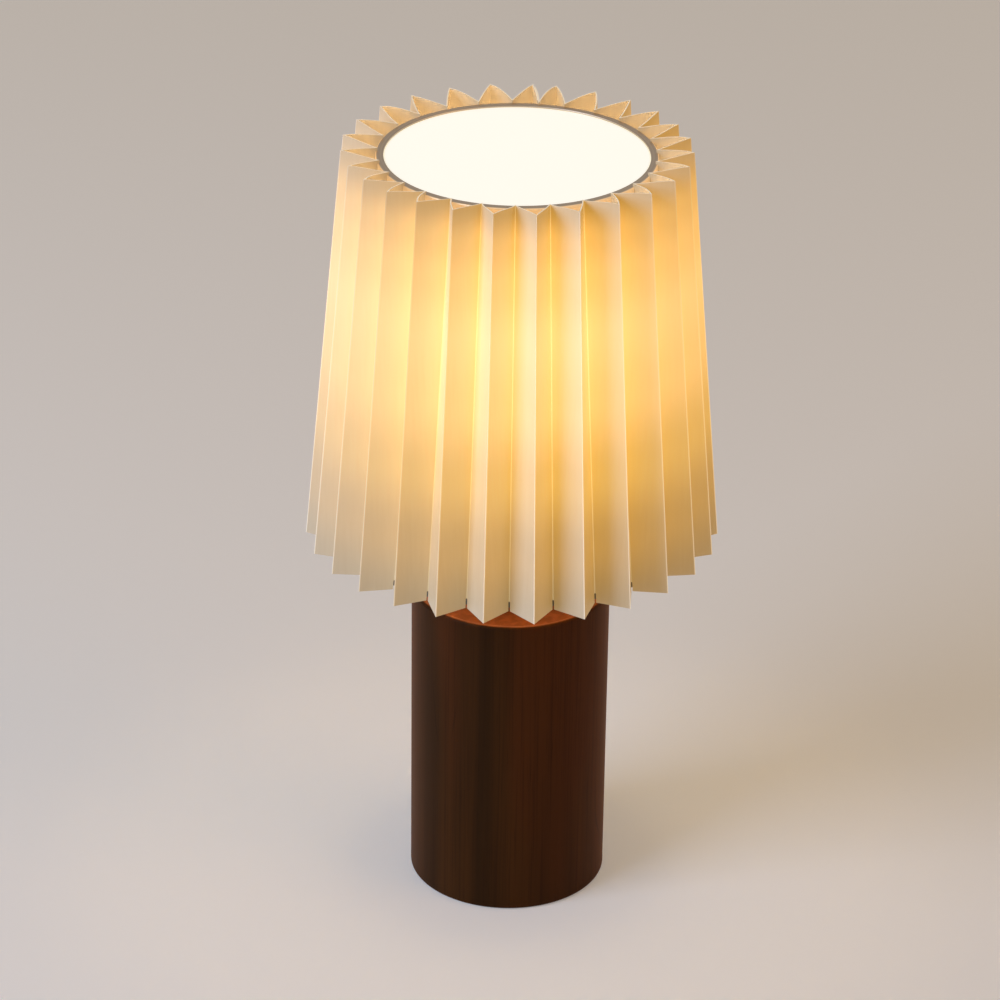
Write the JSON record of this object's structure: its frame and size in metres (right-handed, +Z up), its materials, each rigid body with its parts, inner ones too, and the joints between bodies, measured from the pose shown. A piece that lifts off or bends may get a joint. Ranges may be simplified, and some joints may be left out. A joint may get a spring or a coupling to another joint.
{
  "type": "pleated table lamp",
  "caption": "Table lamp with a turned wooden cylinder base and a tapered shade of pleated translucent sheet closed by a flat diffuser on top.",
  "frame": {"origin": "on the table, under the middle of the wooden base", "axes": "+Z up along the lamp's axis; +Y towards the back, where the sheet's seam and the cord inlet are"},
  "size_m": [0.1855, 0.1851, 0.3595],
  "materials": {
    "walnut": "satin lacquered, vertical grain",
    "pad": "matt foam rubber",
    "cover": "moulded, fine grain",
    "screw_steel": "zinc plated",
    "ballast": "as cast, painted",
    "grommet": "smooth rubber",
    "pipe_steel": "zinc plated",
    "plate_steel": "satin",
    "holder": "thermoset, smooth",
    "ceramic": "unglazed",
    "brass": "stamped",
    "shell_metal": "pressed",
    "pleated_sheet": "translucent cream sheet",
    "ring_metal": "satin",
    "diffuser": "opal, lit from below",
    "carrier_wire": "powder coated, dark grey",
    "opal": "opal, frosted",
    "bulb_body": "moulded, white",
    "led_board": "white solder mask",
    "insulator_black": "fused black glass"
  },
  "bodies": {
    "base": {"wood_base": "walnut", "foot_pad": "pad", "bottom_cover": "cover", "cover_screws": "screw_steel", "ballast_weight": "ballast", "cord_grommet": "grommet", "lamp_pipe": "pipe_steel", "pipe_washer": "pipe_steel", "pipe_nut": "pipe_steel", "seat_plate": "plate_steel", "lock_nut": "pipe_steel", "cap_lock_screw": "screw_steel", "holder_cap": "holder", "holder_skirt": "holder", "holder_insulator": "ceramic", "terminal_plates": "brass", "terminal_screws": "brass", "screw_shell": "shell_metal", "centre_contact": "brass"},
    "clamp": {"retaining_ring": "holder"},
    "shade": {"pleated_sheet": "pleated_sheet", "top_ring": "ring_metal", "diffuser_disc": "diffuser", "bottom_ring": "carrier_wire", "spider_arms": "carrier_wire", "fitter_washer": "carrier_wire"},
    "bulb_lift": {"bulb_cap_insulator": "insulator_black", "bulb_tip_contact": "brass"},
    "bulb": {"bulb_globe": "opal", "bulb_collar": "bulb_body", "led_board": "led_board", "bulb_screw_cap": "shell_metal"}
  },
  "joints": [
    {"name": "shade_turn", "type": "hinge", "parent": "base", "child": "shade", "pos_m": [0, 0, 0.1765], "axis": [0, 0, 1], "continuous": true},
    {"name": "ring_turn", "type": "hinge", "parent": "base", "child": "clamp", "pos_m": [0, 0, 0.181], "axis": [0, 0, 1], "range_deg": [0, 1080]},
    {"name": "bulb_rise", "type": "slide", "parent": "base", "child": "bulb_lift", "axis": [0, 0, 1], "range_m": [0, 0.01452]},
    {"name": "bulb_turn", "type": "hinge", "parent": "bulb_lift", "child": "bulb", "pos_m": [0, 0, 0.2], "axis": [0, 0, 1], "range_deg": [0, 1440]}
  ],
  "couplings": [
    {"joint": "bulb_rise", "follows": "bulb_turn", "m_per_rad": 0.00057757}
  ]
}
